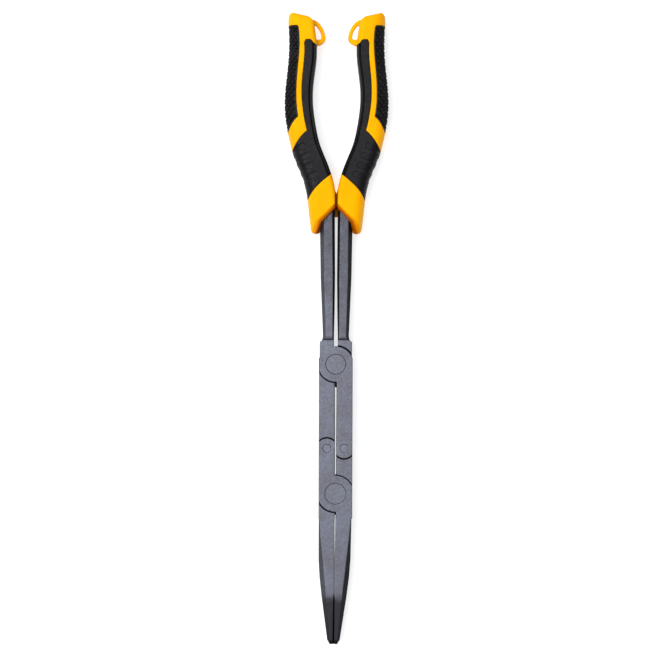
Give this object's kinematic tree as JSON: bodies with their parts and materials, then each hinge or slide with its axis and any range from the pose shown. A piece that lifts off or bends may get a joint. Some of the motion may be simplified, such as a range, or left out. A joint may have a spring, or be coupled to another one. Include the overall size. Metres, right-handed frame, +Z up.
{
  "type": "fishing pliers",
  "caption": "Long-reach fishing pliers with crossed double levers, slim straight jaws with toothed tips, and two-colour moulded grips with lanyard loops.",
  "frame": {"origin": "centre of the bounding box at the underside of the grips, with the pliers lying flat", "axes": "+Y along the tool from the jaw tips to the butt ends, +Z up through its thickness, +X across it towards the right handle"},
  "size_m": [0.066, 0.3989, 0.02],
  "materials": {
    "steel": "matte",
    "rivet_steel": "matte",
    "yellow_plastic": "satin",
    "pad_rubber": "matte",
    "soft_rubber": "matte"
  },
  "bodies": {
    "right_handle": {"right_handle_lever": "steel", "right_grip_core": "yellow_plastic", "right_textured_pad": "pad_rubber", "right_soft_sleeve": "soft_rubber", "main_pivot_rivet": "rivet_steel", "left_link_pin": "rivet_steel"},
    "left_handle": {"left_handle_lever": "steel", "left_grip_core": "yellow_plastic", "left_textured_pad": "pad_rubber", "left_soft_sleeve": "soft_rubber", "right_link_pin": "rivet_steel"},
    "right_jaw": {"right_jaw_lever": "steel", "jaw_pivot_rivet": "rivet_steel"},
    "left_jaw": {"left_jaw_lever": "steel"}
  },
  "joints": [
    {"name": "handle_pivot", "type": "hinge", "parent": "right_handle", "child": "left_handle", "pos_m": [0, -0.0228, 0.01], "axis": [0, 0, 1], "range_deg": [0, 24]},
    {"name": "link_pivot_left", "type": "hinge", "parent": "right_handle", "child": "right_jaw", "pos_m": [-0.00545, -0.0759, 0.01], "axis": [0, 0, 1], "range_deg": [0, 35.7]},
    {"name": "jaw_pivot", "type": "hinge", "parent": "right_jaw", "child": "left_jaw", "pos_m": [0, -0.1045, 0.01], "axis": [0, 0, -1], "range_deg": [0, 46.8]}
  ],
  "couplings": [
    {"joint": "link_pivot_left", "follows": "handle_pivot", "ratio": 1.4651},
    {"joint": "jaw_pivot", "follows": "handle_pivot", "ratio": 1.9302}
  ]
}
